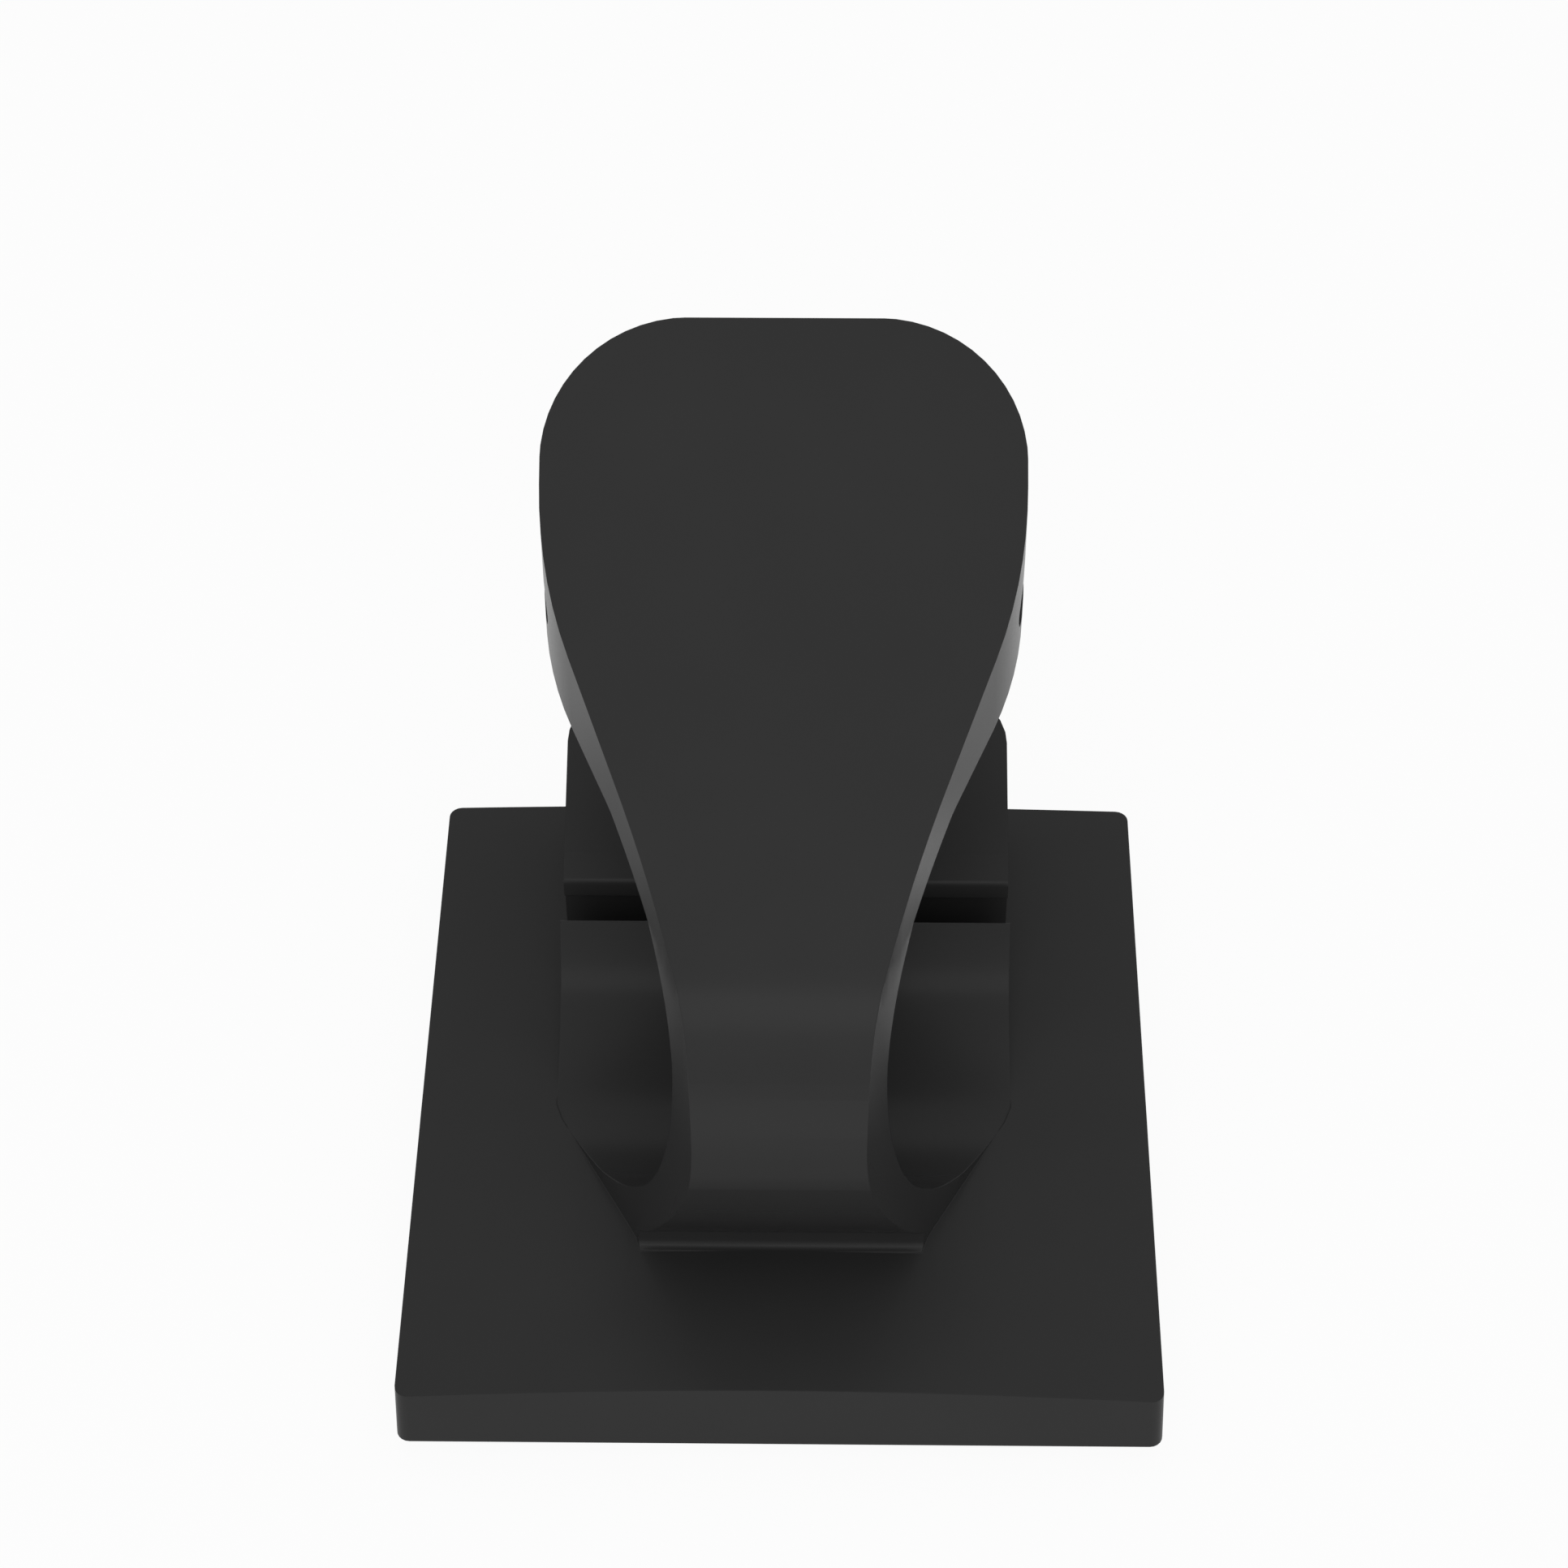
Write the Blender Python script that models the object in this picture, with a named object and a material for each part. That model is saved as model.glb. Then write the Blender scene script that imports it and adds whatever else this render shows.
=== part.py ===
"""Adhesive cable clip: a springy clip moulded in one piece with its base plate, and the foam tape below it.

Metres, +Z up. The cable runs along X, the front of the clip looks towards -Y.
The origin is the middle of the sticky face. The clip's own sizes are counted from the
plate's front edge (towards the back) and from the plate's top at its two side edges (upwards).
"""
import math

import bmesh
import bpy
from mathutils import Vector

# Base plate, its top slightly crowned across the width
PLATE_WIDTH = 0.0285
PLATE_DEPTH = 0.0301
PLATE_EDGE_HEIGHT = 0.0027
PLATE_CORNER_RADIUS = 0.0005
PLATE_DRAFT = math.radians(2.0)
CROWN_FRONT = 0.00053
CROWN_BACK = 0.00025

# Foam tape under the plate
TAPE_THICKNESS = 0.0008
TAPE_INSET = 0.0010
TAPE_CORNER_RADIUS = 0.0010

# Loop that holds the cable, and the flat arm that rises from it
BODY_WIDTH = 0.01784
LOOP_SETBACK = 0.0135
LOOP_RADIUS = 0.0072
LOOP_FLOOR_DROP = 0.0001
LOOP_WALL = 0.00186
BEND_SHIFT_BACK = 0.0001
BEND_SHIFT_UP = 0.00016
ARM_RISE = math.radians(35.0)
ARM_LENGTH = 0.0239
TIP_CORNER_RADIUS = 0.00545

# Outline of the arm seen from above: narrow waist, two flares, full-width head
WAIST_WIDTH = 0.00519
WAIST_FLARE = math.radians(18.8)
WAIST_FLARE_LENGTH = 0.00704
FLARE_EASE = 0.0021
ARM_FLARE = math.radians(24.8)
SHOULDER_RADIUS = 0.0125

# Foot under the loop, splayed towards the back
FOOT_WIDTH = 0.01063
FOOT_RECESS = 0.00227
FOOT_SPLAY = math.radians(28.1)
FOOT_BROW_RADIUS = 0.00267
FOOT_EASE = 0.0008
TOE_FILLET = 0.0003
ROOT_LOW = 0.00086
ROOT_HIGH = 0.01416
ROOT_HOLLOWNESS = 1.2

# Catch under the arm: a wedge that ends in a hook open towards the tip
CATCH_START = 0.00585
CATCH_RAMP_LENGTH = 0.00685
HOOK_LENGTH = 0.0021
HOOK_THICKNESS = 0.00071
THROAT_GAP = 0.00154
THROAT_DEPTH = 0.00185

# Lip at the back of the trough, slot and post with its nose
LIP_HEIGHT = 0.00405
LIP_THICKNESS = 0.00012
SLOT_WIDTH = 0.0027
SLOT_FRONT_TAPER = 0.0006
SLOT_FLOOR_HEIGHT = 0.0006
NOSE_OVERHANG = 0.0005
NOSE_SHADOW_HEIGHT = 0.00279
NOSE_UNDERCUT_RISE = 0.00026
NOSE_FACE_HEIGHT = 0.00085
NOSE_RADIUS = 0.0003
RAMP_LENGTH = 0.00107
RAMP_ANGLE = math.radians(30.0)
SHELF_ANGLE = math.radians(22.2)
POST_BACK_MARGIN = 0.0003
POST_CORNER_RADIUS = 0.0020

# How far parts of the moulding reach into each other
ROOT_DEPTH = 0.0010
OVERCUT = 0.0015

# Sizes that follow from the ones above
DECK_Z = TAPE_THICKNESS + PLATE_EDGE_HEIGHT
FRONT_Y = -PLATE_DEPTH / 2.0
OUTER_RADIUS = LOOP_RADIUS + LOOP_WALL
LOOP_CENTRE = (LOOP_SETBACK, LOOP_RADIUS - LOOP_FLOOR_DROP)
BEND_CENTRE = (LOOP_CENTRE[0] + BEND_SHIFT_BACK, LOOP_CENTRE[1] + BEND_SHIFT_UP)
LOOP_FRONT = BEND_CENTRE[0] - OUTER_RADIUS
FOOT_FRONT = LOOP_FRONT + FOOT_RECESS
BEND_END_ANGLE = math.pi / 2.0 + ARM_RISE
ARM_THICKNESS = LOOP_WALL - BEND_SHIFT_BACK * math.sin(ARM_RISE) + BEND_SHIFT_UP * math.cos(ARM_RISE)
POST_BACK = PLATE_DEPTH - POST_BACK_MARGIN
HALF_BODY = BODY_WIDTH / 2.0


def start_clean():
    """Empty scene, so the script can be run again."""
    for item in list(bpy.data.objects):
        bpy.data.objects.remove(item, do_unlink=True)
    for item in list(bpy.data.collections):
        bpy.data.collections.remove(item)


def new_collection(name):
    """Collection linked to the scene."""
    collection = bpy.data.collections.new(name)
    bpy.context.scene.collection.children.link(collection)
    return collection


def add_object(name, mesh, collection):
    """Mesh object linked to one collection."""
    item = bpy.data.objects.new(name, mesh)
    collection.objects.link(item)
    return item


def bmesh_to_mesh(bm, name):
    """Mesh with all faces outward, the bmesh is freed."""
    bmesh.ops.recalc_face_normals(bm, faces=bm.faces)
    mesh = bpy.data.meshes.new(name)
    bm.to_mesh(mesh)
    bm.free()
    return mesh


def plastic(name, colour, roughness):
    """Plain material of its own for one piece."""
    material = bpy.data.materials.new(name)
    material.use_nodes = True
    shader = material.node_tree.nodes["Principled BSDF"]
    shader.inputs["Base Color"].default_value = (colour[0], colour[1], colour[2], 1.0)
    shader.inputs["Roughness"].default_value = roughness
    shader.inputs["Metallic"].default_value = 0.0
    material.diffuse_color = (colour[0], colour[1], colour[2], 1.0)
    return material


def arc(centre, radius, start, end, steps):
    """Points of an arc from one angle to another."""
    points = []
    for index in range(steps + 1):
        angle = start + (end - start) * index / steps
        across = centre[0] + radius * math.cos(angle)
        up = centre[1] + radius * math.sin(angle)
        points.append((across, up))
    return points


def fillet(before, corner, after, radius, steps):
    """Points of a corner rounded with a radius, which never eats up the sides beside it."""
    corner = Vector(corner)
    to_before = Vector(before) - corner
    to_after = Vector(after) - corner
    room = 0.45 * min(to_before.length, to_after.length)
    half_angle = to_before.angle(to_after) / 2.0
    tangent = min(radius / math.tan(half_angle), room)
    fitted = tangent * math.tan(half_angle)
    bisector = (to_before.normalized() + to_after.normalized()).normalized()
    centre = corner + bisector * (fitted / math.sin(half_angle))
    first = corner + to_before.normalized() * tangent - centre
    last = corner + to_after.normalized() * tangent - centre
    start = math.atan2(first.y, first.x)
    sweep = math.atan2(last.y, last.x) - start
    sweep = (sweep + math.pi) % (2.0 * math.pi) - math.pi
    return arc(centre, fitted, start, start + sweep, steps)


def rounded_outline(corners, steps=4):
    """Closed outline from corners (across, up, radius); a corner without radius stays sharp."""
    points = []
    count = len(corners)
    for index, (across, up, radius) in enumerate(corners):
        if radius > 0.0:
            before = corners[index - 1][:2]
            after = corners[(index + 1) % count][:2]
            points.extend(fillet(before, (across, up), after, radius, steps))
        else:
            points.append((across, up))
    return points


def sharp(points):
    """Corners without a radius from plain points."""
    return [(across, up, 0.0) for across, up in points]


def slab(name, outlines, half_thickness, location, rotation, collection):
    """Closed outlines given a thickness, turned into a welded mesh object."""
    curve = bpy.data.curves.new(name + "_outline", "CURVE")
    curve.dimensions = "2D"
    curve.fill_mode = "BOTH"
    curve.extrude = half_thickness
    for outline in outlines:
        spline = curve.splines.new("POLY")
        spline.points.add(len(outline) - 1)
        for point, (across, up) in zip(spline.points, outline):
            point.co = (across, up, 0.0, 1.0)
        spline.use_cyclic_u = True
    drawn = bpy.data.objects.new(name + "_outline", curve)
    drawn.location = location
    drawn.rotation_euler = rotation
    collection.objects.link(drawn)
    bpy.context.view_layer.update()
    depsgraph = bpy.context.evaluated_depsgraph_get()
    mesh = bpy.data.meshes.new_from_object(drawn.evaluated_get(depsgraph))
    bm = bmesh.new()
    bm.from_mesh(mesh)
    bmesh.ops.remove_doubles(bm, verts=bm.verts, dist=0.000001)
    bmesh.ops.recalc_face_normals(bm, faces=bm.faces)
    bm.to_mesh(mesh)
    bm.free()
    mesh.name = name
    item = add_object(name, mesh, collection)
    item.matrix_world = drawn.matrix_world
    bpy.data.objects.remove(drawn, do_unlink=True)
    return item


def rounded_block(name, width, depth, bottom, top, radius, draft, collection):
    """Block with rounded upright corners; the draft keeps its nominal size at height 0."""
    bm = bmesh.new()
    bmesh.ops.create_cube(bm, size=1.0)
    bmesh.ops.scale(bm, vec=(width, depth, top - bottom), verts=bm.verts)
    bmesh.ops.translate(bm, vec=(0.0, 0.0, (top + bottom) / 2.0), verts=bm.verts)
    upright = []
    for edge in bm.edges:
        if abs(edge.verts[0].co.z - edge.verts[1].co.z) > 0.5 * (top - bottom):
            upright.append(edge)
    bmesh.ops.bevel(bm, geom=upright, offset=radius, segments=5, profile=0.5, affect="EDGES")
    for vert in bm.verts:
        lean = vert.co.z * math.tan(draft)
        vert.co.x -= lean * math.copysign(1.0, vert.co.x)
        vert.co.y -= lean * math.copysign(1.0, vert.co.y)
    return add_object(name, bmesh_to_mesh(bm, name), collection)


def combine(item, operand, operation, label):
    """Live boolean modifier."""
    modifier = item.modifiers.new(label, "BOOLEAN")
    modifier.operation = operation
    modifier.solver = "EXACT"
    modifier.object = operand


def hide_cutters(collection):
    """Cutters and operands are never rendered and show as wires."""
    for item in collection.objects:
        item.hide_render = True
        item.display_type = "WIRE"


def crown_height(across, from_front):
    """Height of the crowned plate top, 0 at the side edges, falling from front to back."""
    crest = CROWN_FRONT + (CROWN_BACK - CROWN_FRONT) * from_front / PLATE_DEPTH
    return crest * (1.0 - (2.0 * across / PLATE_WIDTH) ** 2)


def crown_solid(collection):
    """Solid under the crowned top, larger than the plate all round."""
    bm = bmesh.new()
    bmesh.ops.create_grid(bm, x_segments=32, y_segments=1, size=0.5)
    for vert in bm.verts:
        across = vert.co.x * (PLATE_WIDTH + 2.0 * OVERCUT)
        from_front = vert.co.y * (PLATE_DEPTH + 2.0 * OVERCUT) + PLATE_DEPTH / 2.0
        vert.co = (across, from_front, crown_height(across, from_front))
    lowered = bmesh.ops.extrude_face_region(bm, geom=list(bm.faces))
    for element in lowered["geom"]:
        if isinstance(element, bmesh.types.BMVert):
            element.co.z = -PLATE_EDGE_HEIGHT - OVERCUT
    bmesh.ops.triangulate(bm, faces=bm.faces)
    item = add_object("plate_crown", bmesh_to_mesh(bm, "plate_crown"), collection)
    item.location = (0.0, FRONT_Y, DECK_Z)
    return item


def inner_loop():
    """Inside of the loop: from the end of the bend round the front to the lip of the trough."""
    lip_drop = (LOOP_CENTRE[1] - LIP_HEIGHT) / LOOP_RADIUS
    lip_angle = 2.0 * math.pi - math.asin(lip_drop)
    return arc(LOOP_CENTRE, LOOP_RADIUS, BEND_END_ANGLE, lip_angle, 56)


def arm_frame(along, below):
    """Point given along the arm's outer face from the end of the bend, and below that face."""
    bend = arc(BEND_CENTRE, OUTER_RADIUS, BEND_END_ANGLE, BEND_END_ANGLE, 1)[0]
    from_front = bend[0] + along * math.cos(ARM_RISE) + below * math.sin(ARM_RISE)
    up = bend[1] + along * math.sin(ARM_RISE) - below * math.cos(ARM_RISE)
    return (from_front, up)


def arm_corner(along, below, radius):
    """Corner of the arm's side outline in the arm's own directions."""
    from_front, up = arm_frame(along, below)
    return (from_front, up, radius)


def post_marks():
    """Front of the post's slot, front of its nose, and start and end of its shelf with their heights."""
    slot_front = inner_loop()[-1][0] + LIP_THICKNESS
    nose_front = slot_front + SLOT_WIDTH - NOSE_OVERHANG
    nose_top = NOSE_SHADOW_HEIGHT + NOSE_UNDERCUT_RISE + NOSE_FACE_HEIGHT
    shelf_start = nose_front + RAMP_LENGTH
    shelf_height = nose_top + RAMP_LENGTH * math.tan(RAMP_ANGLE)
    shelf_end_height = shelf_height + (POST_BACK - shelf_start) * math.tan(SHELF_ANGLE)
    return slot_front, nose_front, nose_top, (shelf_start, shelf_height), (POST_BACK, shelf_end_height)


def side_outline():
    """Outline of the whole clip seen from the side, from its foot round the arm to the post."""
    toe_height = crown_height(0.0, FOOT_FRONT)
    toe_centre = (FOOT_FRONT - TOE_FILLET, toe_height + TOE_FILLET)
    foot_angle = math.pi + math.acos((BEND_CENTRE[0] - FOOT_FRONT) / OUTER_RADIUS)
    ramp_end = CATCH_START + CATCH_RAMP_LENGTH
    hook_end = ramp_end + HOOK_LENGTH
    throat_end = hook_end - THROAT_DEPTH
    hook_top = ARM_THICKNESS + THROAT_GAP
    hook_bottom = hook_top + HOOK_THICKNESS

    corners = [(FOOT_FRONT - TOE_FILLET, -ROOT_DEPTH, 0.0)]
    corners.extend(sharp(arc(toe_centre, TOE_FILLET, -math.pi / 2.0, 0.0, 4)))
    corners.extend(sharp(arc(BEND_CENTRE, OUTER_RADIUS, foot_angle, BEND_END_ANGLE, 28)))
    corners.append(arm_corner(ARM_LENGTH, 0.0, 0.0))
    corners.append(arm_corner(ARM_LENGTH, ARM_THICKNESS, 0.0))
    corners.append(arm_corner(throat_end, ARM_THICKNESS, THROAT_GAP / 2.0))
    corners.append(arm_corner(throat_end, hook_top, THROAT_GAP / 2.0))
    corners.append(arm_corner(hook_end, hook_top, HOOK_THICKNESS / 2.0))
    corners.append(arm_corner(hook_end, hook_bottom, HOOK_THICKNESS / 2.0))
    corners.append(arm_corner(ramp_end, hook_bottom, 0.0035))
    corners.append(arm_corner(CATCH_START, ARM_THICKNESS, 0.0020))
    corners.extend(sharp(inner_loop()))

    slot_front, nose_front, nose_top, shelf_start, shelf_end = post_marks()
    slot_back = slot_front + SLOT_WIDTH
    corners.append((slot_front, LIP_HEIGHT, 0.0001))
    corners.append((slot_front + SLOT_FRONT_TAPER, SLOT_FLOOR_HEIGHT, 0.0003))
    corners.append((slot_back, SLOT_FLOOR_HEIGHT, 0.0003))
    corners.append((slot_back, NOSE_SHADOW_HEIGHT, 0.0))
    corners.append((nose_front, NOSE_SHADOW_HEIGHT + NOSE_UNDERCUT_RISE, 0.00008))
    corners.append((nose_front, nose_top, NOSE_RADIUS))
    corners.append((shelf_start[0], shelf_start[1], 0.0006))
    corners.append((shelf_end[0], shelf_end[1], 0.0))
    corners.append((POST_BACK, -ROOT_DEPTH, 0.0))
    return rounded_outline(corners)


def flare_marks():
    """Seen from above, where the second flare takes over, and where the shoulder starts and ends."""
    change = LOOP_FRONT + WAIST_FLARE_LENGTH
    change_half = WAIST_WIDTH / 2.0 + WAIST_FLARE_LENGTH * math.tan(WAIST_FLARE)
    shoulder_half = HALF_BODY - SHOULDER_RADIUS * (1.0 - math.cos(ARM_FLARE))
    shoulder_start = change + (shoulder_half - change_half) / math.tan(ARM_FLARE)
    shoulder_end = shoulder_start + SHOULDER_RADIUS * math.sin(ARM_FLARE)
    return change, change_half, shoulder_start, shoulder_end


def arm_half_width(from_front):
    """Half width of the arm seen from above."""
    change, change_half, shoulder_start, shoulder_end = flare_marks()
    if from_front >= shoulder_end:
        return HALF_BODY
    if from_front >= shoulder_start:
        run = shoulder_end - from_front
        return HALF_BODY - SHOULDER_RADIUS + math.sqrt(SHOULDER_RADIUS ** 2 - run ** 2)
    run = from_front - change
    turn = math.tan(ARM_FLARE) - math.tan(WAIST_FLARE)
    if run >= FLARE_EASE:
        return change_half + run * math.tan(ARM_FLARE)
    half = change_half + run * math.tan(WAIST_FLARE)
    if run > -FLARE_EASE:
        half += turn * (run + FLARE_EASE) ** 2 / (4.0 * FLARE_EASE)
    return half


def foot_half_width(from_front):
    """Half width of the foot seen from above; its brow curves in before the foot's front face."""
    run = from_front - FOOT_FRONT
    brow = min(max(-run, 0.0), 0.9 * FOOT_BROW_RADIUS)
    half = FOOT_WIDTH / 2.0 - FOOT_BROW_RADIUS + math.sqrt(FOOT_BROW_RADIUS ** 2 - brow ** 2)
    if run >= FOOT_EASE:
        return half + run * math.tan(FOOT_SPLAY)
    if run > -FOOT_EASE:
        half += math.tan(FOOT_SPLAY) * (run + FOOT_EASE) ** 2 / (4.0 * FOOT_EASE)
    return half


def body_half_width(from_front, up):
    """Half width of the moulding: the splayed foot low down narrows to the arm's outline above."""
    share = (ROOT_HIGH - up) / (ROOT_HIGH - ROOT_LOW)
    share = min(max(share, 0.0), 1.0) ** ROOT_HOLLOWNESS
    above = arm_half_width(from_front)
    below = max(foot_half_width(from_front), above)
    return min(HALF_BODY, above + (below - above) * share)


def stretch(start, end, steps):
    """Evenly spaced values, the last one left out."""
    return [start + (end - start) * index / steps for index in range(steps)]


def width_solid(collection):
    """Solid that gives the moulding its width, lofted from the foot's outline to the arm's."""
    change, _, shoulder_start, shoulder_end = flare_marks()
    stations = [LOOP_FRONT - OVERCUT]
    stations.extend(stretch(LOOP_FRONT, FOOT_FRONT, 9))
    stations.extend(stretch(FOOT_FRONT, change, 14))
    stations.extend(stretch(change, shoulder_start, 8))
    stations.extend(stretch(shoulder_start, shoulder_end, 7))
    stations.append(shoulder_end)
    stations.append(max(shoulder_end, POST_BACK, arm_frame(ARM_LENGTH, ARM_THICKNESS)[0]) + OVERCUT)
    levels = [-ROOT_DEPTH - OVERCUT]
    levels.extend(stretch(ROOT_LOW, ROOT_HIGH, 14))
    levels.append(ROOT_HIGH)
    levels.append(arm_frame(ARM_LENGTH, 0.0)[1] + OVERCUT)

    bm = bmesh.new()
    rings = []
    for level in levels:
        right = [(body_half_width(station, level), station, level) for station in stations]
        left = [(-across, station, level) for across, station, level in reversed(right)]
        rings.append([bm.verts.new(point) for point in right + left])
    count = len(rings[0])
    for lower, upper in zip(rings[:-1], rings[1:]):
        for index in range(count):
            after = (index + 1) % count
            bm.faces.new((lower[index], lower[after], upper[after], upper[index]))
    bm.faces.new(list(reversed(rings[0])))
    bm.faces.new(rings[-1])
    twisted = [face for face in bm.faces if len(face.verts) == 4]
    bmesh.ops.triangulate(bm, faces=twisted)
    item = add_object("width_limit", bmesh_to_mesh(bm, "width_limit"), collection)
    item.location = (0.0, FRONT_Y, DECK_Z)
    return item


def corner_pair(radius, end, steps):
    """Outlines of what is taken off the two corners of the body's width, in front of an end."""
    clear = 0.00001
    across = HALF_BODY - radius + clear
    along = end - radius + clear
    outline = arc((across, along), radius, 0.0, math.pi / 2.0, steps)
    outline.append((across, end + OVERCUT))
    outline.append((HALF_BODY + OVERCUT, end + OVERCUT))
    outline.append((HALF_BODY + OVERCUT, along))
    mirrored = [(-point[0], point[1]) for point in reversed(outline)]
    return [outline, mirrored]


def tip_corners(collection):
    """The two corners taken off the tip, square to the arm's faces."""
    outlines = corner_pair(min(TIP_CORNER_RADIUS, 0.9 * HALF_BODY), ARM_LENGTH, 14)
    middle = arm_frame(0.0, ARM_THICKNESS / 2.0)
    location = (0.0, FRONT_Y + middle[0], DECK_Z + middle[1])
    half = ARM_THICKNESS / 2.0 + OVERCUT
    return slab("tip_corners", outlines, half, location, (ARM_RISE, 0.0, 0.0), collection)


def post_corners(collection):
    """The two upright corners taken off the back of the post."""
    outlines = corner_pair(min(POST_CORNER_RADIUS, 0.9 * HALF_BODY), POST_BACK, 6)
    low = -ROOT_DEPTH - OVERCUT
    high = post_marks()[-1][1] + OVERCUT
    location = (0.0, FRONT_Y, DECK_Z + (low + high) / 2.0)
    return slab("post_corners", outlines, (high - low) / 2.0, location, (0.0, 0.0, 0.0), collection)


def main_moulding(pieces, cutters):
    """Plate, foot, loop, arm, catch, lip and post as one closed body."""
    top = max(CROWN_FRONT, CROWN_BACK) + OVERCUT
    body = rounded_block("clip_body", PLATE_WIDTH, PLATE_DEPTH, -PLATE_EDGE_HEIGHT, top,
                         PLATE_CORNER_RADIUS, PLATE_DRAFT, pieces)
    body.location = (0.0, 0.0, DECK_Z)
    combine(body, crown_solid(cutters), "INTERSECT", "crowned top")

    sideways = (math.pi / 2.0, 0.0, math.pi / 2.0)
    at_front = (0.0, FRONT_Y, DECK_Z)
    hollow = arc(LOOP_CENTRE, LOOP_RADIUS + 0.00002, math.radians(225.0), math.radians(315.0), 24)
    trough = slab("trough_hollow", [hollow], PLATE_WIDTH / 2.0 + OVERCUT, at_front, sideways, cutters)
    combine(body, trough, "DIFFERENCE", "trough floor")

    clip = slab("clip_profile", [side_outline()], HALF_BODY + OVERCUT, at_front, sideways, cutters)
    combine(clip, width_solid(cutters), "INTERSECT", "width")
    combine(clip, tip_corners(cutters), "DIFFERENCE", "tip corners")
    combine(clip, post_corners(cutters), "DIFFERENCE", "post corners")
    combine(body, clip, "UNION", "moulded together")

    body.data.materials.append(plastic("black moulded plastic", (0.022, 0.022, 0.022), 0.42))
    body.data.shade_smooth()
    body.data.set_sharp_from_angle(angle=math.radians(30.0))
    return body


def foam_tape(pieces):
    """Double-sided foam tape, a little smaller than the plate it is stuck to."""
    width = PLATE_WIDTH - 2.0 * TAPE_INSET
    depth = PLATE_DEPTH - 2.0 * TAPE_INSET
    tape = rounded_block("foam_tape", width, depth, 0.0, TAPE_THICKNESS,
                         TAPE_CORNER_RADIUS, 0.0, pieces)
    tape.data.materials.append(plastic("white foam tape", (0.78, 0.78, 0.76), 0.85))
    return tape


start_clean()
piece_collection = new_collection("adhesive_cable_clip")
cutter_collection = new_collection("cutters")
main_moulding(piece_collection, cutter_collection)
foam_tape(piece_collection)
hide_cutters(cutter_collection)
bpy.context.view_layer.update()
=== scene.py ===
import math

import bpy
from mathutils import Matrix


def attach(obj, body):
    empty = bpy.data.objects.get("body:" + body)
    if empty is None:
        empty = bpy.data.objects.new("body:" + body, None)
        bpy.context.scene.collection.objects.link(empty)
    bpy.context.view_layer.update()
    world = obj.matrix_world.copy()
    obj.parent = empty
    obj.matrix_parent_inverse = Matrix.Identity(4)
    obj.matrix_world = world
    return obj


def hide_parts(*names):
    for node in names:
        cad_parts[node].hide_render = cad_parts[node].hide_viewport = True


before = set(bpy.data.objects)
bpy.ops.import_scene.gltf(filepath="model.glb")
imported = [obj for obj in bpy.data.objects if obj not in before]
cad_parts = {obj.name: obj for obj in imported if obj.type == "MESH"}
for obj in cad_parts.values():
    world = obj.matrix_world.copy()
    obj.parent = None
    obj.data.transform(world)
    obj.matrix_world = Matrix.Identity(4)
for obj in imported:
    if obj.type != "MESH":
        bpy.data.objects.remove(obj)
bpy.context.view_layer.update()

# Foam tape: a square of closed-cell acrylic foam, die-cut from a roll and pressed on under
# the plate, where its cut sides show the cells.
FOAM_CELL = 0.00015
FOAM_PIT_DEPTH = 0.00006
FOAM_SKIN = "#e9e8e2"
# The foam's white under painted shade, a darker copy used towards the rim of each cell
FOAM_PAINTED_SHADE = "#d2d0c8"
TAPE_SMOOTH_ANGLE = math.radians(30.0)
MERGE_DISTANCE = 0.000002
COPLANAR_ANGLE = 0.01
ANY_QUAD_SHAPE = 3.1


def linear(hex_colour):
    """Linear colour from an sRGB hex value."""
    parts = [int(hex_colour[start:start + 2], 16) / 255.0 for start in (1, 3, 5)]
    values = [part / 12.92 if part <= 0.04045 else ((part + 0.055) / 1.055) ** 2.4 for part in parts]
    return (values[0], values[1], values[2], 1.0)


def add_node(tree, kind, settings=None, links=None):
    """Node with its settings (attributes or socket values) and what feeds its sockets."""
    node = tree.nodes.new(kind)
    for name, value in (settings or {}).items():
        if isinstance(name, str) and hasattr(node, name):
            setattr(node, name, value)
        else:
            node.inputs[name].default_value = value
    for socket, source in (links or {}).items():
        tree.links.new(source, node.inputs[socket])
    return node


def empty_material(name):
    """Material with only its output node."""
    material = bpy.data.materials.new(name)
    material.use_nodes = True
    material.node_tree.nodes.clear()
    output = material.node_tree.nodes.new("ShaderNodeOutputMaterial")
    return material, material.node_tree, output


def shown_copy(node_name, piece_name, material, smooth_angle, refine=None):
    """Merged copy of a CAD node, shaded smooth where its faces run on, shown in its place."""
    bpy.ops.object.select_all(action="DESELECT")
    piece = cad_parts[node_name].copy()
    piece.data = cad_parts[node_name].data.copy()
    piece.name = piece_name
    bpy.context.scene.collection.objects.link(piece)
    piece.parent = None
    piece.matrix_world = Matrix.Identity(4)
    piece.select_set(True)
    bpy.context.view_layer.objects.active = piece
    bpy.ops.object.mode_set(mode="EDIT")
    bpy.ops.mesh.select_all(action="SELECT")
    bpy.ops.mesh.remove_doubles(threshold=MERGE_DISTANCE)
    bpy.ops.mesh.customdata_custom_splitnormals_clear()
    bpy.ops.mesh.tris_convert_to_quads(face_threshold=COPLANAR_ANGLE, shape_threshold=ANY_QUAD_SHAPE)
    bpy.ops.mesh.select_all(action="DESELECT")
    bpy.ops.object.mode_set(mode="OBJECT")
    if refine:
        refine(piece)
    bpy.ops.object.shade_smooth_by_angle(angle=smooth_angle)
    bpy.ops.object.modifier_add(type="WEIGHTED_NORMAL")
    piece.modifiers[-1].keep_sharp = True
    bpy.ops.object.modifier_apply(modifier=piece.modifiers[-1].name)
    piece.data.materials.clear()
    piece.data.materials.append(material)
    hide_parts(node_name)
    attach(piece, "root")
    return piece
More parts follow.
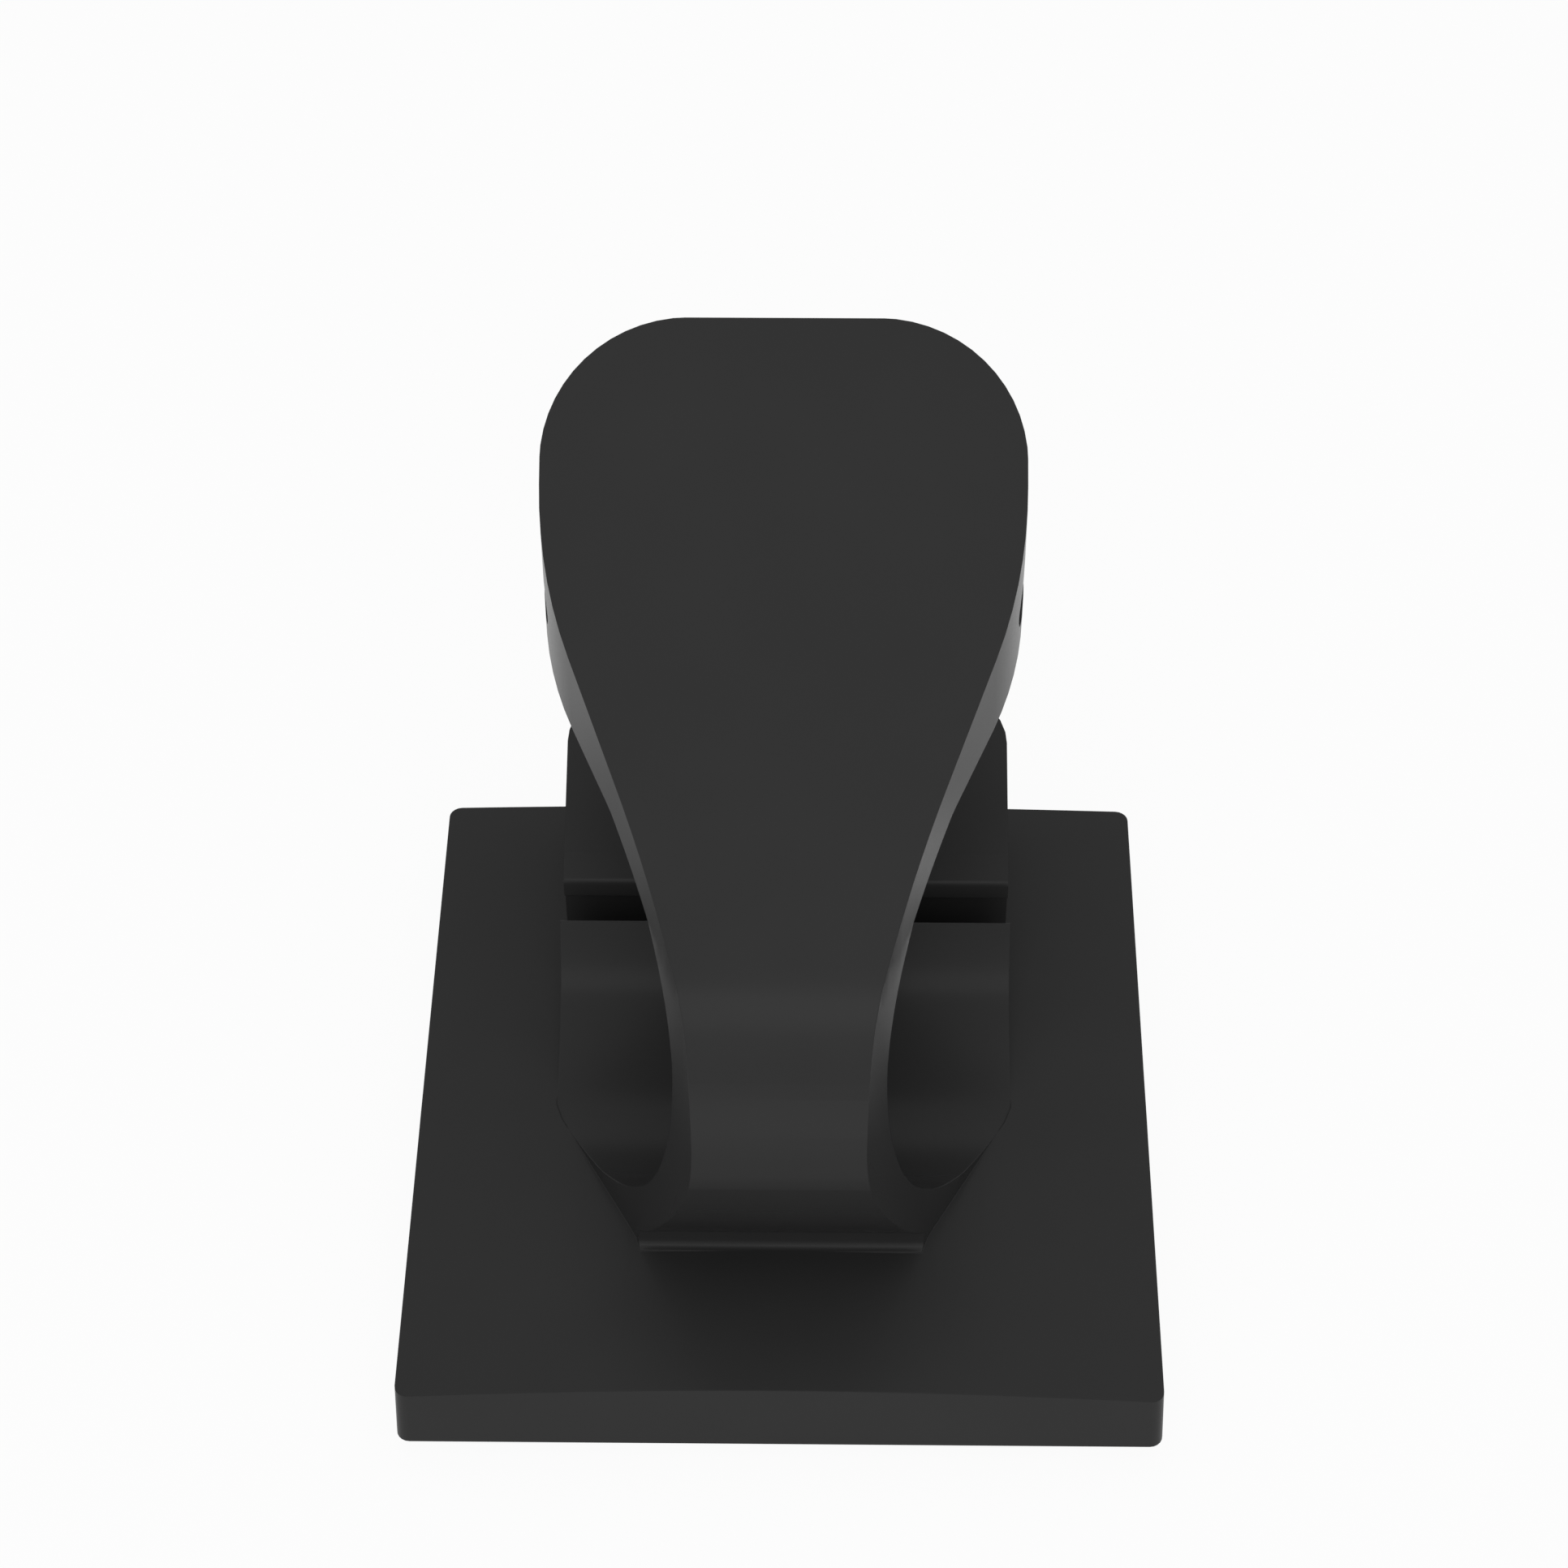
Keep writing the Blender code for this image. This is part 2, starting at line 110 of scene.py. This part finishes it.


# Closed-cell foam is matt white; its cells of about 0.15 mm are fine pits, with painted shade at each rim
foam, tree, output = empty_material("white closed-cell acrylic foam tape, die-cut")
place = add_node(tree, "ShaderNodeTexCoord")
cells = add_node(tree, "ShaderNodeTexVoronoi", {"Scale": 1.0 / FOAM_CELL},
                 {"Vector": place.outputs["Object"]})
# Painted shade: the white darkens away from each cell's centre, towards the pit's rim
tone = add_node(tree, "ShaderNodeMix", {"data_type": "RGBA", 6: linear(FOAM_SKIN), 7: linear(FOAM_PAINTED_SHADE)},
                {0: cells.outputs["Distance"]})
pits = add_node(tree, "ShaderNodeBump", {"Strength": 0.5, "Distance": FOAM_PIT_DEPTH},
                {"Height": cells.outputs["Distance"]})
shader = add_node(tree, "ShaderNodeBsdfPrincipled", {"Roughness": 0.85, "IOR": 1.48},
                  {"Base Color": tone.outputs[2], "Normal": pits.outputs["Normal"]})
tree.links.new(shader.outputs["BSDF"], output.inputs["Surface"])
tape = shown_copy("foam_tape", "foam_tape_cut", foam, TAPE_SMOOTH_ANGLE)

# Clip: base plate, foot, loop, arm, hook and post, injection moulded in one piece from black
# nylon. Its faces are satin from a finely eroded mould, and all its edges are just broken.
EROSION_GRAIN = 0.00012
EROSION_DEPTH = 0.000004
FLOW_CLOUD = 0.006
NYLON_DARK = "#2a2a2a"
NYLON_PALE = "#2e2e2e"
SATIN_SMOOTH = 0.23
SATIN_ROUGH = 0.27
BROKEN_EDGE = 0.00006
CLIP_SMOOTH_ANGLE = math.radians(28.0)

# Black nylon from an eroded mould has a grain of about 0.12 mm, which makes it satin, and
# soft clouds of flow a few millimetres across
nylon, tree, output = empty_material("black nylon, injection moulded in an eroded mould")
place = add_node(tree, "ShaderNodeTexCoord")
grain = add_node(tree, "ShaderNodeTexNoise", {"Scale": 1.0 / EROSION_GRAIN, "Detail": 3.0, "Roughness": 0.6},
                 {"Vector": place.outputs["Object"]})
flow = add_node(tree, "ShaderNodeTexNoise", {"Scale": 1.0 / FLOW_CLOUD, "Detail": 2.0},
                {"Vector": place.outputs["Object"]})
tone = add_node(tree, "ShaderNodeMix", {"data_type": "RGBA", 6: linear(NYLON_DARK), 7: linear(NYLON_PALE)},
                {0: flow.outputs["Fac"]})
satin = add_node(tree, "ShaderNodeMapRange",
                 {"From Min": 0.3, "From Max": 0.7, "To Min": SATIN_SMOOTH, "To Max": SATIN_ROUGH},
                 {"Value": grain.outputs["Fac"]})
edges = add_node(tree, "ShaderNodeBevel", {"samples": 6, "Radius": BROKEN_EDGE})
skin = add_node(tree, "ShaderNodeBump", {"Strength": 0.08, "Distance": EROSION_DEPTH},
                {"Height": grain.outputs["Fac"], "Normal": edges.outputs["Normal"]})
shader = add_node(tree, "ShaderNodeBsdfPrincipled", {"IOR": 1.46, "Specular IOR Level": 0.2},
                  {"Base Color": tone.outputs[2], "Roughness": satin.outputs["Result"],
                   "Normal": skin.outputs["Normal"]})
tree.links.new(shader.outputs["BSDF"], output.inputs["Surface"])

# The plate's crowned top and the trough in it, as the solid has them. The last two sizes are the
# lift of the trough's floor and the height over which it fades out.
PLATE_HALF_WIDTH = 0.01425
PLATE_DEPTH = 0.0301
DECK_HEIGHT = 0.0035
CROWN_FRONT = 0.00053
CROWN_BACK = 0.00025
TROUGH_PLACE = -0.00155
TROUGH_CENTRE_HEIGHT = 0.0106
LOOP_RADIUS = 0.0072
HOLLOW_RADIUS = 0.00722
FACET_SAG = 0.000005
ROUNDING = 0.000001
FLOOR_LIFT = 0.0003
LIFTED_HEIGHT = 0.0022


def crown(across, along):
    """Height of the plate's crowned top."""
    crest = CROWN_FRONT + (CROWN_BACK - CROWN_FRONT) * (along / PLATE_DEPTH + 0.5)
    return DECK_HEIGHT + crest * (1.0 - (across / PLATE_HALF_WIDTH) ** 2)


def flush_trough(piece):
    """Close the hollow in the plate beside the clip, and lift the trough's floor to match."""
    for vert in piece.data.vertices:
        across, along, height = vert.co
        radius = math.hypot(along - TROUGH_PLACE, height - TROUGH_CENTRE_HEIGHT)
        above_floor = height - (TROUGH_CENTRE_HEIGHT - LOOP_RADIUS)
        if above_floor > LIFTED_HEIGHT:
            continue
        if HOLLOW_RADIUS - FACET_SAG < radius < HOLLOW_RADIUS + ROUNDING:
            vert.co.z = max(height, crown(across, along))
        elif LOOP_RADIUS - FACET_SAG < radius < LOOP_RADIUS + ROUNDING:
            share = max(above_floor, 0.0) / LIFTED_HEIGHT
            vert.co.z += FLOOR_LIFT * (1.0 - share * share * (3.0 - 2.0 * share))


clip = shown_copy("clip_body", "clip_moulding", nylon, CLIP_SMOOTH_ANGLE, flush_trough)

# Floor: a seamless sweep of white paper, which the clip lies on. It glows white for the camera
# and for what the glossy clip mirrors, and its share of plain paper takes the clip's shadow.
SWEEP_SIZE = 3.0
SWEEP_HEIGHT = -0.00002
PAPER = "#d8d8d8"
GLOW_SHARE = 0.94

# What the clip mirrors of the paper: each patch has its centre, the radius where it starts to
# fade, the radius where it has faded, and the glow inside and outside it
SHADE_ROUND_CLIP = ((0.0, 0.0, 0.0), 0.022, 0.045, 0.5, 1.0)
LIGHT_AT_RIGHT = ((0.0158, 0.0050, 0.0), 0.005, 0.011, 1.0, 0.5)
SHADE_AT_LEFT = ((-0.0190, 0.0125, 0.0), 0.003, 0.008, 0.62, 1.0)

# Matt white paper, bright as a lit sweep and with no gloss of its own
sweep, tree, output = empty_material("white paper sweep")
ray = add_node(tree, "ShaderNodeLightPath")
seen = add_node(tree, "ShaderNodeMath", {"operation": "MAXIMUM"},
                {0: ray.outputs["Is Camera Ray"], 1: ray.outputs["Is Glossy Ray"]})
share = add_node(tree, "ShaderNodeMath", {"operation": "MULTIPLY", 1: GLOW_SHARE},
                 {0: seen.outputs["Value"]})
place = add_node(tree, "ShaderNodeTexCoord")
patches = []
for centre, inner, outer, glow_inside, glow_outside in (SHADE_ROUND_CLIP, LIGHT_AT_RIGHT, SHADE_AT_LEFT):
    away = add_node(tree, "ShaderNodeVectorMath", {"operation": "DISTANCE", 1: centre},
                    {0: place.outputs["Object"]})
    patches.append(add_node(tree, "ShaderNodeMapRange",
                            {"From Min": inner, "From Max": outer,
                             "To Min": glow_inside, "To Max": glow_outside},
                            {"Value": away.outputs["Value"]}))
round_clip, at_right, at_left = patches
lit = add_node(tree, "ShaderNodeMath", {"operation": "MAXIMUM"},
               {0: round_clip.outputs["Result"], 1: at_right.outputs["Result"]})
shaded = add_node(tree, "ShaderNodeMath", {"operation": "MULTIPLY"},
                  {0: lit.outputs["Value"], 1: at_left.outputs["Result"]})
strength = add_node(tree, "ShaderNodeMath", {"operation": "MAXIMUM"},
                    {0: ray.outputs["Is Camera Ray"], 1: shaded.outputs["Value"]})
paper = add_node(tree, "ShaderNodeBsdfDiffuse", {"Color": linear(PAPER)})
glow = add_node(tree, "ShaderNodeEmission", {"Color": linear("#ffffff")},
                {"Strength": strength.outputs["Value"]})
mixed = add_node(tree, "ShaderNodeMixShader", {},
                 {0: share.outputs["Value"], 1: paper.outputs["BSDF"], 2: glow.outputs["Emission"]})
tree.links.new(mixed.outputs["Shader"], output.inputs["Surface"])
bpy.ops.object.select_all(action="DESELECT")
bpy.ops.mesh.primitive_plane_add(size=SWEEP_SIZE, location=(0.0, 0.0, SWEEP_HEIGHT))
floor = bpy.context.object
floor.name = "floor"
floor.data.materials.append(sweep)
sweep.cycles.emission_sampling = "NONE"

# Light: a white tent. The world fills from all round, one wide softbox hangs overhead and one
# stands in front. Those two only light; a small dim window above the front shows in the bend.
TENT_FILL = 0.5
world = bpy.data.worlds.new("white tent")
bpy.context.scene.world = world
world.use_nodes = True
tree = world.node_tree
tree.nodes.clear()
output = tree.nodes.new("ShaderNodeOutputWorld")
ray = add_node(tree, "ShaderNodeLightPath")
fill = add_node(tree, "ShaderNodeBackground", {"Color": linear("#ffffff"), "Strength": TENT_FILL})
white = add_node(tree, "ShaderNodeBackground", {"Color": linear("#ffffff"), "Strength": 1.0})
mixed = add_node(tree, "ShaderNodeMixShader", {},
                 {0: ray.outputs["Is Camera Ray"], 1: fill.outputs["Background"],
                  2: white.outputs["Background"]})
tree.links.new(mixed.outputs["Shader"], output.inputs["Surface"])


def soft_lamp(name, place, pitch, size, power, mirrored):
    """Square area lamp, pitched about X; one that isn't mirrored only lights."""
    bpy.ops.object.select_all(action="DESELECT")
    bpy.ops.object.light_add(type="AREA", location=place, rotation=(math.radians(pitch), 0.0, 0.0))
    lamp = bpy.context.object
    lamp.name = name
    lamp.data.size = size
    lamp.data.energy = power
    lamp.visible_glossy = mirrored


soft_lamp("overhead_softbox", (0.0, 0.05, 0.60), pitch=-4.0, size=0.50, power=0.8, mirrored=False)
soft_lamp("front_softbox", (0.0, -0.45, 0.30), pitch=56.0, size=0.50, power=1.4, mirrored=False)
soft_lamp("front_window", (0.0, -0.30, 0.27), pitch=48.0, size=0.13, power=0.034, mirrored=True)

# Camera: a short telephoto in front of the clip, looking down at it, as fitted to the
# plate's corners in the photograph.
CAMERA_PLACE = (0.00188, -0.10195, 0.12625)
LOOKING_DOWN = math.radians(46.0)
TURNED = math.radians(1.009)
ROLLED = math.radians(-0.390)
FOCAL_LENGTH = 92.42
SENSOR_WIDTH = 36.0
NEAREST = 0.01
FARTHEST = 10.0
bpy.ops.object.camera_add()
camera = bpy.context.object
camera.name = "photo_camera"
camera.data.sensor_width = SENSOR_WIDTH
camera.data.lens = FOCAL_LENGTH
camera.data.clip_start = NEAREST
camera.data.clip_end = FARTHEST
turn = Matrix.Rotation(TURNED, 4, "Z") @ Matrix.Rotation(math.pi / 2.0 - LOOKING_DOWN, 4, "X")
camera.matrix_world = Matrix.Translation(CAMERA_PLACE) @ turn @ Matrix.Rotation(ROLLED, 4, "Z")
bpy.context.scene.camera = camera
bpy.context.scene.view_settings.view_transform = "Standard"
